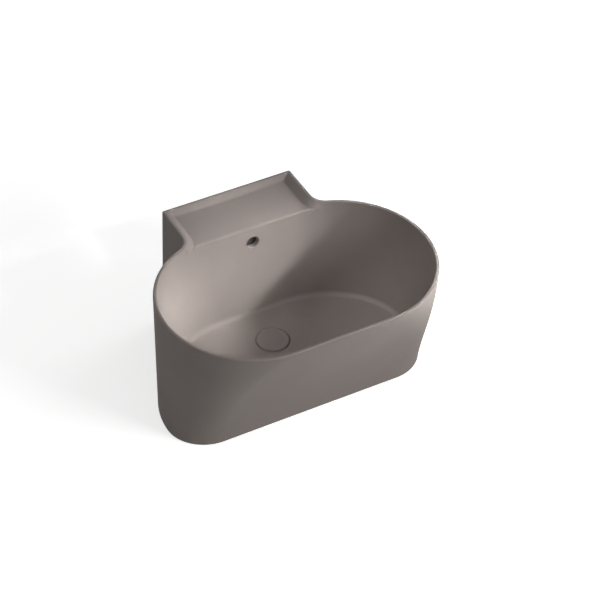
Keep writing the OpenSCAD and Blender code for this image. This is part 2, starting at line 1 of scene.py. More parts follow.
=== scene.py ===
"""Lengths are in metres."""

from math import atan2, cos, pi, radians, sin, sqrt, tau

import bmesh
import bpy
from bpy.props import FloatProperty, FloatVectorProperty, PointerProperty
from mathutils import Matrix, Vector


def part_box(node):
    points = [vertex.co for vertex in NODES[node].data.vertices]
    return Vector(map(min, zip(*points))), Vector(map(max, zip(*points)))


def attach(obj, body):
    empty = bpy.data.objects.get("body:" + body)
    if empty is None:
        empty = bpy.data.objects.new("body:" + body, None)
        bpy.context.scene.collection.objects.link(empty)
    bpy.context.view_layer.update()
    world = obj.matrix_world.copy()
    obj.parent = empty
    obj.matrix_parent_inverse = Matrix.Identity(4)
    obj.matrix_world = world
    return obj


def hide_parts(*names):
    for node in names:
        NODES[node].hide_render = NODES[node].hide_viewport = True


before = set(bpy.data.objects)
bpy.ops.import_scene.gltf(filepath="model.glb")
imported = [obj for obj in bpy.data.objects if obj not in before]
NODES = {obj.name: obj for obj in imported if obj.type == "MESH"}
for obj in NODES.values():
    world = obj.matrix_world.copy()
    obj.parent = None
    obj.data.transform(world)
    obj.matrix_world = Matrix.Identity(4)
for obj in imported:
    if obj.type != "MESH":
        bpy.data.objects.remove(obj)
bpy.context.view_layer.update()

bl_info = {
    "name": "Wall Hung Basin",
    "version": (1, 0, 0),
    "blender": (4, 5, 0),
    "location": "View3D > Sidebar > Basin",
    "description": "Adds a wall hung ceramic basin with its waste and its wall fixings",
    "category": "Add Mesh",
}

MM = 0.001
# The basin's base, which stands on the floor in the picture
BASE_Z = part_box("basin_body")[0].z
# The distance between the two wall studs, which the origin lies midway between
STUD_SPACING = 200 * MM
# The middle of the waste
WASTE_Y = (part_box("drain_cover")[0].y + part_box("drain_cover")[1].y) / 2

# Points along each stretch of half an outline
BACK_N = 12
NECK_CORNER_N = 6
SIDE_N = 10
FILLET_N = 16
END_N = 40
CORNER_N = 30
FRONT_N = 16
NECK_N = BACK_N + NECK_CORNER_N + SIDE_N + FILLET_N

# How the front bends and how late the corners open out, from base to rim
RAKE_POWER = 1.33
CORNER_POWER = 3


def linear(colour):
    """An sRGB colour, written as six hex digits, in the linear values that shaders take."""
    parts = [int(colour[i:i + 2], 16) / 255 for i in (0, 2, 4)]
    return tuple(p / 12.92 if p <= 0.04045 else ((p + 0.055) / 1.055) ** 2.4 for p in parts)


def length(name, description, default):
    return FloatProperty(name=name, description=description, default=default, min=0.0,
                         precision=4, unit="LENGTH", subtype="DISTANCE")


def colour(name, description, default):
    return FloatVectorProperty(name=name, description=description, default=linear(default),
                               size=3, min=0.0, max=1.0, subtype="COLOR")


class BasinSizes(bpy.types.PropertyGroup):
    """Sizes of the casting, the cover and the fixings"""

    rim_length: length("Rim length", "Length of the oval rim, left to right", 600 * MM)
    rim_width: length("Rim width", "Width of the oval rim, front to back", 390 * MM)
    height: length("Height", "Height of the basin", 300 * MM)
    wall_reach: length("Wall reach", "Distance from the wall to the oval rim", 110 * MM)
    side_set_in: length("Side set in", "How far each side stands in at the base", 8.5 * MM)
    front_set_back: length("Front set back", "How far the front stands back at the base",
                           114 * MM)
    base_corner: length("Base corner", "Radius of the base's front corners", 88 * MM)
    rim_wall: length("Rim wall", "Thickness of the wall at the rim", 7 * MM)
    skirt: length("Skirt", "Thickness of the skirt round the open underside", 12 * MM)
    ledge_length: length("Ledge length", "Length of the ledge along the wall", 300 * MM)
    ledge_drop: length("Ledge drop", "Depth of the ledge's tray under the rim", 13 * MM)
    neck_fillet: length("Neck fillet", "Radius of the hollow corner at the oval", 35 * MM)
    floor_height: length("Floor height", "Height of the bowl's floor at its edge", 56 * MM)
    floor_wall: length("Floor wall", "Thickness of the walls at the floor", 22 * MM)
    floor_edge: length("Floor edge", "Radius of the hollow edge round the floor", 11 * MM)
    overflow: length("Overflow", "Diameter of the overflow hole", 28 * MM)
    recess: length("Recess", "Diameter of the recess that holds the cover", 74 * MM)
    cover: length("Cover", "Diameter of the ceramic cover", 70 * MM)
    cover_lip: length("Cover lip", "Thickness of the cover at its raised lip", 8 * MM)
    cover_dish: length("Cover dish", "Depth of the dish inside the lip", 1.5 * MM)


class BasinColours(bpy.types.PropertyGroup):
    """Colours of the finishes"""

    glaze: colour("Glaze", "Matt taupe glaze", "877f7b")
    glaze_dark: colour("Glaze, dark", "The same glaze where it lies thicker", "837b77")
    chrome: colour("Chrome", "Bright chrome plate", "c9ccce")
    brass: colour("Brass", "Plain turned brass", "c9ad6a")
    zinc: colour("Zinc", "Zinc plate on steel", "a9adb0")
    spring: colour("Spring", "Drawn spring steel", "9a9c9e")
    rubber: colour("Rubber", "Black moulded rubber", "262626")
    nylon: colour("Nylon", "Natural white nylon", "e6e3da")
    acetal: colour("Acetal", "Grey moulded acetal", "4b4e51")
    floor: colour("Floor", "Pale studio floor", "f2f2f0")


def mix(a, b, share):
    return a + (b - a) * share


def smooth(share):
    return share * share * (3 - 2 * share)


def end_x(s):
    return (s.rim_length - s.rim_width) / 2


def centre_y(s):
    return -s.wall_reach - s.rim_width / 2


# Outside sizes at a height, given as a share of the basin's height
def half_at(s, share):
    return s.rim_length / 2 - s.side_set_in * (1 - share)


def end_r_at(s, share):
    return half_at(s, share) - end_x(s)


def front_at(s, share):
    return centre_y(s) - s.rim_width / 2 + s.front_set_back * (1 - share ** RAKE_POWER)


def corner_r_at(s, share):
    return mix(s.base_corner, s.rim_width / 2, share ** CORNER_POWER)


def fillet_x(s):
    return s.ledge_length / 2 + s.neck_fillet


def fillet_y_at(s, share):
    reach = end_r_at(s, share) + s.neck_fillet
    return centre_y(s) + sqrt(reach ** 2 - (fillet_x(s) - end_x(s)) ** 2)


def meet_turn_at(s, share):
    """The turn at which the hollow corner meets the oval."""
    return atan2(fillet_y_at(s, share) - centre_y(s), fillet_x(s) - end_x(s))


def raised(points, z):
    return [Vector((x, y, BASE_Z + z)) for x, y in points]


def outline(s, z, inset, back, corner=0.0):
    """Right half of the outside at height z, drawn in by inset and, along the wall, by back."""
    share = z / s.height
    neck = s.ledge_length / 2 - inset
    half, end = half_at(s, share), end_r_at(s, share)
    front_r, front, mid = corner_r_at(s, share), front_at(s, share), centre_y(s)
    fillet, turn = fillet_y_at(s, share), meet_turn_at(s, share)
    points = [((neck - corner) * i / BACK_N, -back) for i in range(BACK_N)]
    for i in range(NECK_CORNER_N):
        angle = pi / 2 * (1 - i / NECK_CORNER_N)
        points.append((neck - corner + corner * cos(angle), -back - corner + corner * sin(angle)))
    points += [(neck, mix(-back - corner, fillet, i / SIDE_N)) for i in range(SIDE_N)]
    for i in range(FILLET_N):
        angle = pi + turn * i / FILLET_N
        points.append((fillet_x(s) + (s.neck_fillet + inset) * cos(angle),
                       fillet + (s.neck_fillet + inset) * sin(angle)))
    for i in range(END_N):
        angle = turn * (1 - i / END_N)
        points.append((end_x(s) + (end - inset) * cos(angle), mid + (end - inset) * sin(angle)))
    for i in range(CORNER_N):
        angle = -pi / 2 * i / CORNER_N
        points.append((half - front_r + (front_r - inset) * cos(angle),
                       mid + (mid - front - inset) * sin(angle)))
    points += [((half - front_r) * (1 - i / FRONT_N), front + inset) for i in range(FRONT_N + 1)]
    return raised(points, z)


# Where the ledge's corners and sides come down to the bowl's back, as shares of its half
CREST_CORNER = 0.62
CREST_CORNER_END = 0.66
CREST_SIDE = 0.78
# The bowl's back wall: its thickness at the rim, its lean, and its corner radius at the floor
BACK_WALL = 7 * MM
BACK_LEAN = 6 * MM
BACK_CORNER = 205 * MM
# How much nearer to the wall the bowl is widest at its floor
CENTRE_SHIFT = 15 * MM
# The part of the hollow corner over which the ledge's edges run out into the oval's
RUN_OUT_SHARE = 0.8


def back_shares():
    """Places along the bowl's back, from its middle to where the hollow corner meets it."""
    stretches = ((0, CREST_CORNER, BACK_N), (CREST_CORNER, CREST_CORNER_END, NECK_CORNER_N),
                 (CREST_CORNER_END, CREST_SIDE, SIDE_N), (CREST_SIDE, 1, FILLET_N))
    return [mix(a, b, i / n) for a, b, n in stretches for i in range(n)]


def bowl(s, z, inset=0.0):
    """Right half of the bowl's outline at height z above the base, drawn in by inset."""
    share, depth = z / s.height, (s.height - z) / (s.height - s.floor_height)
    wall = mix(s.rim_wall, s.floor_wall, depth)
    half = half_at(s, share) - wall
    back = -s.wall_reach - BACK_WALL - BACK_LEAN * depth
    front = front_at(s, share) + wall
    mid = centre_y(s) + CENTRE_SHIFT * depth
    back_r = mix(s.rim_width / 2 - s.rim_wall, BACK_CORNER, depth)
    back_x = half - back_r
    front_r = corner_r_at(s, share) - wall
    turn = meet_turn_at(s, 1)
    meet_x = back_x + (back_r - inset) * cos(turn)
    points = []
    for back_share in back_shares():
        x = meet_x * back_share
        past = max(0, x - back_x) / (back_r - inset)
        points.append((x, mid + (back - inset - mid) * sqrt(1 - past * past)))
    for i in range(END_N):
        angle = turn * (1 - i / END_N)
        points.append((back_x + (back_r - inset) * cos(angle),
                       mid + (back - inset - mid) * sin(angle)))
    for i in range(CORNER_N):
        angle = -pi / 2 * i / CORNER_N
        points.append((half - front_r + (front_r - inset) * cos(angle),
                       mid + (mid - front - inset) * sin(angle)))
    points += [((half - front_r) * (1 - i / FRONT_N), front + inset) for i in range(FRONT_N + 1)]
    return raised(points, z)


def bowl_share(i):
    """How much a point belongs to the bowl: 0 on the ledge, 1 on the oval."""
    return smooth(max(0, min(1, (i - NECK_N + FILLET_N) / (FILLET_N * RUN_OUT_SHARE))))


# The tray's slopes in plan, at its sides and along the wall, and its corner radius
TRAY_SIDE_SLOPE = 15 * MM
TRAY_WALL_SLOPE = 6 * MM
TRAY_CORNER = 5 * MM


def tray_foot(s):
    """The foot of the tray's slopes, which runs out along the bowl's wall."""
    z = s.height - s.ledge_drop
    foot = outline(s, s.height, s.rim_wall + TRAY_SIDE_SLOPE, s.rim_wall + TRAY_WALL_SLOPE,
                   TRAY_CORNER)
    for point in foot:
        point.z = BASE_Z + z
    return [a.lerp(b, bowl_share(i)) for i, (a, b) in enumerate(zip(foot, bowl(s, z)))]


def crest(s):
    """The crest between ledge and bowl, which runs down onto the bowl's wall."""
    z = s.height - s.ledge_drop
    top, low = bowl(s, z), bowl(s, z - s.ledge_drop)
    return [a.lerp(b, bowl_share(i)) for i, (a, b) in enumerate(zip(top, low))]


def about_waste(s, radius, z):
    """A round ring about the waste, its points in line with those of the floor's edge."""
    ring = []
    for point in bowl(s, s.floor_height, s.floor_edge):
        angle = atan2(point.y - WASTE_Y, point.x)
        ring.append(Vector((radius * cos(angle), WASTE_Y + radius * sin(angle), BASE_Z + z)))
    return ring


# The most of a stretch that a soft edge at one of its ends takes
MOST_REACH_SHARE = 0.45


def rounded(before, corner, after, reach, steps):
    """Rings of a soft edge where the skin turns at corner, starting reach away from it."""
    rings = [[] for _ in range(steps + 1)]
    for a, c, b in zip(before, corner, after):
        to_a, to_b = a - c, b - c
        start = c + to_a.normalized() * min(reach, to_a.length * MOST_REACH_SHARE)
        end = c + to_b.normalized() * min(reach, to_b.length * MOST_REACH_SHARE)
        for k, ring in enumerate(rings):
            t = k / steps
            ring.append(start * (1 - t) ** 2 + c * 2 * t * (1 - t) + end * t * t)
    return rings


def between(first, last, steps):
    """Rings that divide the skin between two others."""
    return [[a.lerp(b, k / steps) for a, b in zip(first, last)] for k in range(1, steps)]


# Corner radii in plan: of the outside, inside the rim and inside the skirt
OUTER_CORNER = 3 * MM
LIP_CORNER = 2.5 * MM
SKIRT_CORNER = 4 * MM
# The rim's top starts this far in from the outside
RIM_EDGE_IN = 0.25 * MM
# Under the bowl: how far its floor falls to the waste, how deep the recess and the boss go,
# how thick the floor is, and the radii of the waste's hole and of the boss
FLOOR_FALL = 2.5 * MM
RECESS_DEPTH = 10.5 * MM
BOSS_DEPTH = 19 * MM
FLOOR_THICKNESS = 9.5 * MM
WASTE_HOLE_R = 23 * MM
BOSS_R = 48 * MM
# How far from each corner its soft edge starts, and in how many steps it turns
LIP_EDGE = (1.8 * MM, 4)
TRAY_EDGE = (6.5 * MM, 6)
CREST_EDGE = (5 * MM, 6)
MOUTH_EDGE = (1.3 * MM, 4)
RECESS_EDGE = (1.2 * MM, 3)
HOLE_EDGE = (0.8 * MM, 3)
BOSS_EDGE = (2.5 * MM, 4)
BOSS_ROOT_EDGE = (6 * MM, 4)
CEILING_EDGE = (6 * MM, 5)
BASE_EDGE = (1.5 * MM, 3)
RIM_EDGE = (3.15 * MM, 6)
# Rings up the bowl's wall, round its hollow edge and up the outside
BOWL_RINGS = 15
HOLLOW_RINGS = 10
OUTSIDE_RINGS = 25


def heights_below(s):
    """Heights of the floor at the waste, the waste's seat, the boss's foot and the ceiling."""
    floor_low = s.floor_height - FLOOR_FALL
    seat = floor_low - RECESS_DEPTH
    return floor_low, seat, seat - BOSS_DEPTH, floor_low - FLOOR_THICKNESS


def casting_rings(s):
    """Half rings of the whole casting: from the rim into the bowl, out through the waste hole,
    round the underside and up the outside."""
    rim_top = s.height
    tray = s.height - s.ledge_drop
    lip = outline(s, rim_top, s.rim_wall, s.rim_wall, LIP_CORNER)
    foot, brow = tray_foot(s), crest(s)
    wall_top = tray - s.ledge_drop - s.rim_wall
    wall_foot = s.floor_height + s.floor_edge
    rim_edge = outline(s, rim_top, RIM_EDGE_IN, RIM_EDGE_IN, OUTER_CORNER)
    rings = rounded(rim_edge, lip, foot, *LIP_EDGE)
    foot_rings = rounded(lip, foot, brow, *TRAY_EDGE)
    rings += between(rings[-1], foot_rings[0], 2) + foot_rings
    brow_rings = rounded(foot, brow, bowl(s, wall_top), *CREST_EDGE)
    rings += between(rings[-1], brow_rings[0], 5) + brow_rings
    rings += [bowl(s, mix(wall_top, wall_foot, k / BOWL_RINGS)) for k in range(BOWL_RINGS)]
    for k in range(HOLLOW_RINGS):
        turn = pi / 2 * k / (HOLLOW_RINGS - 1)
        rings.append(bowl(s, wall_foot - s.floor_edge * sin(turn), s.floor_edge * (1 - cos(turn))))
    # Heights under the bowl, as in the part's source
    floor_low, seat, boss_foot, ceiling = heights_below(s)
    mouth = about_waste(s, s.recess / 2, floor_low)
    recess_foot = about_waste(s, s.recess / 2, seat)
    hole_top = about_waste(s, WASTE_HOLE_R, seat)
    hole_foot = about_waste(s, WASTE_HOLE_R, boss_foot)
    boss_edge = about_waste(s, BOSS_R, boss_foot)
    boss_root = about_waste(s, BOSS_R, ceiling)
    skirt_foot = outline(s, 0, s.skirt, s.skirt, SKIRT_CORNER)
    skirt_root = [p + Vector((0, 0, ceiling)) for p in skirt_foot]
    base_edge = outline(s, 0, 0, 0, OUTER_CORNER)
    wall_low, wall_high = 5 * MM, s.height - 6 * MM
    wall_start = outline(s, 2 * wall_low, 0, 0, OUTER_CORNER)
    mouth_rings = rounded(rings[-1], mouth, recess_foot, *MOUTH_EDGE)
    rings += between(rings[-1], mouth_rings[0], 8) + mouth_rings
    rings += rounded(mouth, recess_foot, hole_top, *RECESS_EDGE)
    rings += rounded(recess_foot, hole_top, hole_foot, *HOLE_EDGE)
    rings += rounded(hole_top, hole_foot, boss_edge, *HOLE_EDGE)
    rings += rounded(hole_foot, boss_edge, boss_root, *BOSS_EDGE)
    rings += rounded(boss_edge, boss_root, skirt_root, *BOSS_ROOT_EDGE)
    ceiling_rings = rounded(boss_root, skirt_root, skirt_foot, *CEILING_EDGE)
    rings += between(rings[-1], ceiling_rings[0], 5) + ceiling_rings
    rings += rounded(skirt_root, skirt_foot, base_edge, *BASE_EDGE)
    rings += rounded(skirt_foot, base_edge, wall_start, *BASE_EDGE)
    rings += [outline(s, mix(wall_low, wall_high, k / (OUTSIDE_RINGS - 1)), 0, 0, OUTER_CORNER)
              for k in range(OUTSIDE_RINGS)]
    rings += rounded(rings[-1], rim_edge, lip, *RIM_EDGE)
    rings.append(rings[0])
    return rings


def whole(half):
    """A whole ring from its right half: the left half is the mirror image."""
    return half + [Vector((-p.x, p.y, p.z)) for p in half[-2:0:-1]]


def edit_all():
    """Goes into Edit Mode with every point selected."""
    bpy.ops.object.mode_set(mode="EDIT")
    bpy.ops.mesh.select_all(action="SELECT")


def deselect():
    if bpy.context.object and bpy.context.object.mode != "OBJECT":
        bpy.ops.object.mode_set(mode="OBJECT")
    bpy.ops.object.select_all(action="DESELECT")


def only(piece):
    """Selects one piece alone and makes it active."""
    deselect()
    piece.select_set(True)
    bpy.context.view_layer.objects.active = piece


def named(name):
    """The primitive just added, under its own name, with its place in its mesh."""
    piece = bpy.context.object
    piece.name = piece.data.name = name
    bpy.ops.object.transform_apply(location=True, rotation=True, scale=True)
    return piece


def drawn_through(name, rings, closed_ends=False):
    """A skin drawn through closed rings: a circle is extruded ring by ring, and the points of
    each new ring are moved to their places."""
    deselect()
    start = sum(rings[0], Vector()) / len(rings[0])
    radius = (rings[0][0] - start).length
    bpy.ops.mesh.primitive_circle_add(vertices=len(rings[0]), radius=radius, location=start)
    piece = named(name)
    number = piece.data.attributes.new("number", "INT", "POINT")
    number.data.foreach_set("value", range(len(rings[0])))
    edit_all()
    if closed_ends:
        bpy.ops.mesh.edge_face_add()
    for k, ring in enumerate(rings):
        if k:
            bpy.ops.mesh.extrude_region()
        mesh = bmesh.from_edit_mesh(piece.data)
        order = mesh.verts.layers.int["number"]
        for point in mesh.verts:
            if point.select:
                point.co = ring[point[order]]
        bmesh.update_edit_mesh(piece.data)
    return piece


# Points nearer to each other than this are one
MERGE_REACH = 0.001 * MM
# The edges of a piece that turn by less than this many degrees are shaded smooth
SMOOTH_ANGLE = 35


def closed_skin(piece, smooth_angle=SMOOTH_ANGLE):
    """Merges what meets, turns the faces outwards and shades the soft edges smooth."""
    only(piece)
    edit_all()
    bpy.ops.mesh.remove_doubles(threshold=MERGE_REACH)
    bpy.ops.mesh.normals_make_consistent(inside=False)
    bpy.ops.object.mode_set(mode="OBJECT")
    if "number" in piece.data.attributes:
        piece.data.attributes.remove(piece.data.attributes["number"])
    shade(piece, smooth_angle)
    return piece


def shade(piece, smooth_angle=SMOOTH_ANGLE):
    only(piece)
    bpy.ops.object.shade_smooth_by_angle(angle=radians(smooth_angle))


def apply_all(piece):
    only(piece)
    for modifier in list(piece.modifiers):
        bpy.ops.object.modifier_apply(modifier=modifier.name)


def combined(piece, tool, operation):
    """Joins, or cuts, a piece with a tool, which is used up."""
    modifier = piece.modifiers.new(operation.lower(), "BOOLEAN")
    modifier.operation = operation
    modifier.solver = "EXACT"
    modifier.object = tool
    apply_all(piece)
    bpy.data.objects.remove(tool)


def even_shading(piece):
    """Lets the broad faces keep their own shading up to the soft edges beside them."""
    modifier = piece.modifiers.new("even shading", "WEIGHTED_NORMAL")
    modifier.keep_sharp = True
    apply_all(piece)


def soft_box(name, low, high, soft, steps=3):
    """A box between two corners, given as (x, y, height above the base), with soft edges."""
    low, high = Vector(low), Vector(high)
    deselect()
    bpy.ops.mesh.primitive_cube_add(size=1, location=(low + high) / 2 + Vector((0, 0, BASE_Z)),
                                    scale=high - low)
    piece = named(name)
    edit_all()
    bpy.ops.mesh.bevel(offset=soft, segments=steps, affect="EDGES")
    bpy.ops.object.mode_set(mode="OBJECT")
    return piece


def arc(centre_r, centre_z, radius, start, end, steps):
    """Points of a profile along an arc, between two turns in degrees."""
    turns = [radians(mix(start, end, k / steps)) for k in range(steps + 1)]
    return [(centre_r + radius * cos(t), centre_z + radius * sin(t)) for t in turns]


def turned(name, profile, centre=(0, 0), sides=96):
    """A round piece on an upright axis: a circle is extruded, lifted and scaled from point to
    point of a profile of (radius, height above the base). A radius of 0 closes it in a pole."""
    deselect()
    (radius, z), centre = profile[0], Vector((*centre, 0))
    pole_first = radius == 0
    if pole_first:
        radius, z = profile[1]
    place = centre + Vector((0, 0, BASE_Z + z))
    bpy.ops.mesh.primitive_circle_add(vertices=sides, radius=radius, location=place)
    piece = named(name)
    edit_all()
    if pole_first:
        extrude_to(profile[:1], radius, z, centre)
        bpy.ops.mesh.select_all(action="DESELECT")
        mesh = bmesh.from_edit_mesh(piece.data)
        for edge in mesh.edges:
            if edge.is_boundary:
                edge.select_set(True)
        bmesh.update_edit_mesh(piece.data)
        profile = profile[1:]
    extrude_to(profile[1:], radius, z, centre)
    bpy.ops.object.mode_set(mode="OBJECT")
    return piece


def extrude_to(steps, radius, z, centre):
    for next_radius, next_z in steps:
        bpy.ops.mesh.extrude_region_move(
            TRANSFORM_OT_translate={"value": (0, 0, next_z - z)})
        if next_radius == 0:
            bpy.ops.mesh.merge(type="CENTER")
            return
        scale = next_radius / radius
        place = centre + Vector((0, 0, BASE_Z + next_z))
        bpy.ops.transform.resize(value=(scale, scale, 1), center_override=place)
        radius, z = next_radius, next_z


def soft_profile(corners, steps=4):
    """A closed profile through (radius, height, softness) corners, each turned by a small
    curve that starts its softness away from the corner. It starts and ends at one point."""
    points = []
    for k, (r, z, soft) in enumerate(corners):
        c = Vector((r, z))
        before, after = Vector(corners[k - 1][:2]), Vector(corners[(k + 1) % len(corners)][:2])
        if soft == 0:
            points.append((r, z))
            continue
        start = c + (before - c).normalized() * soft
        end = c + (after - c).normalized() * soft
        for t in (j / steps for j in range(steps + 1)):
            point = start * (1 - t) ** 2 + c * 2 * t * (1 - t) + end * t * t
            points.append((point.x, point.y))
    return points + points[:1]


def thread_stops(low, high, pitch, rings=8):
    """Heights that divide a thread finely enough to carry its shape."""
    n = round((high - low) / pitch * rings)
    return [mix(low, high, k / n) for k in range(n + 1)]


# A point this near to the crest's radius belongs to the thread
THREAD_REACH = 0.02 * MM


def cut_thread(piece, centre, low, high, crest_r, root_r, pitch, runout=1.0):
    """Moves the points of a round stretch in to a helix, fading out over runout pitches."""
    for point in piece.data.vertices:
        x, y, z = point.co.x - centre[0], point.co.y - centre[1], point.co.z - BASE_Z
        radius = sqrt(x * x + y * y)
        if not low <= z <= high or abs(radius - crest_r) > THREAD_REACH:
            continue
        fade = min(1, (z - low) / (runout * pitch), (high - z) / (runout * pitch))
        wave = 0.5 - 0.5 * cos(tau * z / pitch - atan2(y, x))
        scale = mix(crest_r, root_r, wave * smooth(max(0, fade))) / radius
        point.co.x, point.co.y = centre[0] + x * scale, centre[1] + y * scale


# A nut's flat end face as a share of its width over flats, and the slope of the cone beside it
NUT_FACE_SHARE = 0.96
NUT_SLOPE_SHARE = 0.58


def hex_nut(name, corner_d, foot, height, bore_r, centre=(0, 0)):
    """A hexagon nut: a hexagon prism trimmed by a cone at each end, with a countersunk bore."""
    corner_r, top = corner_d / 2, foot + height
    face_r = corner_r * cos(pi / 6) * NUT_FACE_SHARE
    sink = min(1 * MM, height * 0.12)
    wide = corner_r + 1 * MM
    rise = (wide - face_r) * NUT_SLOPE_SHARE
    profile = [(bore_r, foot + sink), (bore_r + sink, foot), (face_r, foot),
               (wide, foot + rise), (wide, top - rise), (face_r, top),
               (bore_r + sink, top), (bore_r, top - sink), (bore_r, foot + sink)]
    piece = closed_skin(turned(name, profile, centre, 72), 30)
    deselect()
    bpy.ops.mesh.primitive_cylinder_add(
        vertices=6, radius=corner_r, depth=height * 2, rotation=(0, 0, pi / 2),
        location=(centre[0], centre[1], BASE_Z + foot + height / 2))
    prism = named(name + "_prism")
    combined(piece, prism, "INTERSECT")
    closed_skin(piece, 30)
    bevel = piece.modifiers.new("worn edges", "BEVEL")
    bevel.width = min(0.25 * MM, height * 0.03)
    bevel.segments = 2
    bevel.limit_method = "ANGLE"
    bevel.angle_limit = radians(25)
    apply_all(piece)
    shade(piece, 40)
    even_shading(piece)
    return piece


def onto_studs(piece, names):
    """Turns a piece that was made upright about the origin so that it points out of the wall,
    and places it and a copy with its own mesh on the two studs."""
    copy = piece.copy()
    copy.data = piece.data.copy()
    bpy.context.collection.objects.link(copy)
    for one, name, side in ((piece, names[0], -1), (copy, names[1], 1)):
        one.name = one.data.name = name
        one.data.transform(Matrix.Translation((side * STUD_SPACING / 2, 0, 0))
                           @ Matrix.Rotation(pi / 2, 4, "X")
                           @ Matrix.Translation((0, 0, -BASE_Z)))
    return piece, copy


def ride(piece, body, replaced, material):
    """Gives a piece its finish, the body that it moves with and the nodes that it
    stands in for."""
    piece.data.materials.clear()
    piece.data.materials.append(material)
    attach(piece, body)
    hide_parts(*replaced)


def add_node(tree, kind, settings=(), **links):
    """Adds a shader node, sets its inputs or options by name, and links its inputs."""
    made = tree.nodes.new(kind)
    for key, value in dict(settings).items():
        if key in made.inputs:
            made.inputs[key].default_value = value
        else:
            setattr(made, key, value)
    wire(tree, made, **links)
    return made


def wire(tree, node, **links):
    """Links the inputs of a node, by name."""
    for key, source in links.items():
        tree.links.new(source, node.inputs[key.replace("_", " ")])


def ramp(tree, fac, stops):
    """A colour ramp through (place, linear colour) stops."""
    made = add_node(tree, "ShaderNodeValToRGB", Fac=fac)
    elements = made.color_ramp.elements
    while len(elements) < len(stops):
        elements.new(0.5)
    for element, (place, tint) in zip(elements, stops):
        element.position = place
        element.color = (*tint, 1)
    return made


def new_material(name):
    """A material with its shader, and the coordinates of the piece in metres."""
    material = bpy.data.materials.new(name)
    material.use_nodes = True
    tree = material.node_tree
    tree.nodes.clear()
    out = add_node(tree, "ShaderNodeOutputMaterial")
    shader = add_node(tree, "ShaderNodeBsdfPrincipled")
    wire(tree, out, Surface=shader.outputs["BSDF"])
    coords = add_node(tree, "ShaderNodeTexCoord").outputs["Object"]
    return material, tree, shader, coords


def matt_glaze(c):
    """Vitreous china, slip cast and sprayed with a matt glaze: an even, slightly waxy surface.
    The glaze lies a little thicker in places, and its fine orange peel softens highlights."""
    material, tree, shader, coords = new_material("matt_glazed_china")
    drift = add_node(tree, "ShaderNodeTexNoise",
                     {"Scale": 1 / (90 * MM), "Detail": 2.0, "Roughness": 0.5}, Vector=coords)
    grain = add_node(tree, "ShaderNodeTexNoise",
                     {"Scale": 1 / (1.2 * MM), "Detail": 2.0, "Roughness": 0.6}, Vector=coords)
    both = add_node(tree, "ShaderNodeMix", {"data_type": "FLOAT", "Factor": 0.25},
                    A=drift.outputs["Fac"], B=grain.outputs["Fac"])
    tint = ramp(tree, both.outputs["Result"], [(0.3, c.glaze_dark), (0.7, c.glaze)])
    gloss = add_node(tree, "ShaderNodeMapRange",
                     {"From Min": 0.3, "From Max": 0.7, "To Min": 0.56, "To Max": 0.64},
                     Value=grain.outputs["Fac"])
    peel = add_node(tree, "ShaderNodeTexNoise",
                    {"Scale": 1 / (2.5 * MM), "Detail": 1.0}, Vector=coords)
    bump = add_node(tree, "ShaderNodeBump", {"Strength": 0.12, "Distance": 0.05 * MM},
                    Height=peel.outputs["Fac"])
    wire(tree, shader, Base_Color=tint.outputs["Color"], Roughness=gloss.outputs["Result"],
         Normal=bump.outputs["Normal"])
    shader.inputs["IOR"].default_value = 1.5
    shader.inputs["Specular IOR Level"].default_value = 0.25
    return material


def plain_finish(name, tint, metallic, roughness, grain, bump_depth):
    """A finish with fine variation: its colour drifts to a darker tint, and its gloss and its
    surface vary with the grain, whose size is in metres."""
    material, tree, shader, coords = new_material(name)
    noise = add_node(tree, "ShaderNodeTexNoise",
                     {"Scale": 1 / grain, "Detail": 3.0, "Roughness": 0.55}, Vector=coords)
    tints = ramp(tree, noise.outputs["Fac"], [(0.35, darker(tint)), (0.65, tint)])
    gloss = add_node(tree, "ShaderNodeMapRange",
                     {"From Min": 0.3, "From Max": 0.7, "To Min": roughness * 0.85,
                      "To Max": roughness * 1.15}, Value=noise.outputs["Fac"])
    bump = add_node(tree, "ShaderNodeBump", {"Strength": 0.4, "Distance": bump_depth},
                    Height=noise.outputs["Fac"])
    wire(tree, shader, Base_Color=tints.outputs["Color"], Roughness=gloss.outputs["Result"],
         Normal=bump.outputs["Normal"])
    shader.inputs["Metallic"].default_value = metallic
    return material


def darker(tint, share=0.85):
    return tuple(part * share for part in tint)


def finish_of(name):
    """A finish by name, made the first time that it is asked for."""
    if name in bpy.data.materials:
        return bpy.data.materials[name]
    c = bpy.context.scene.basin_colours
    if name == "matt_glazed_china":
        return matt_glaze(c)
    # Each finish: its tint, metallic share, roughness, size of grain and depth of grain
    kinds = {
        # Bright chrome over polished brass: a clear mirror with faint polishing marks
        "chrome_plated_brass": (c.chrome, 1.0, 0.08, 0.4 * MM, 0.002 * MM),
        # Brass turned on a lathe: warm, half bright, with fine tool marks
        "turned_brass": (c.brass, 1.0, 0.28, 0.6 * MM, 0.004 * MM),
        # Zinc plated steel: grey, cloudy and half dull
        "zinc_plated_steel": (c.zinc, 1.0, 0.38, 2.5 * MM, 0.006 * MM),
        # Drawn spring steel: grey and smooth
        "drawn_spring_steel": (c.spring, 1.0, 0.3, 0.5 * MM, 0.002 * MM),
        # Moulded rubber: nearly black and dull
        "moulded_rubber": (c.rubber, 0.0, 0.7, 0.5 * MM, 0.02 * MM),
        # Moulded natural nylon: off-white and waxy
        "moulded_nylon": (c.nylon, 0.0, 0.42, 1.5 * MM, 0.01 * MM),
        # Moulded acetal: dark grey, smooth and half dull
        "moulded_acetal": (c.acetal, 0.0, 0.36, 1.0 * MM, 0.006 * MM),
    }
    return plain_finish(name, *kinds[name])


# The space behind the bowl: how far behind the oval it starts, its foot and the ledge over it
BEHIND_BOWL = 3 * MM
SPACE_FOOT = 10 * MM
LEDGE_THICKNESS = 12 * MM
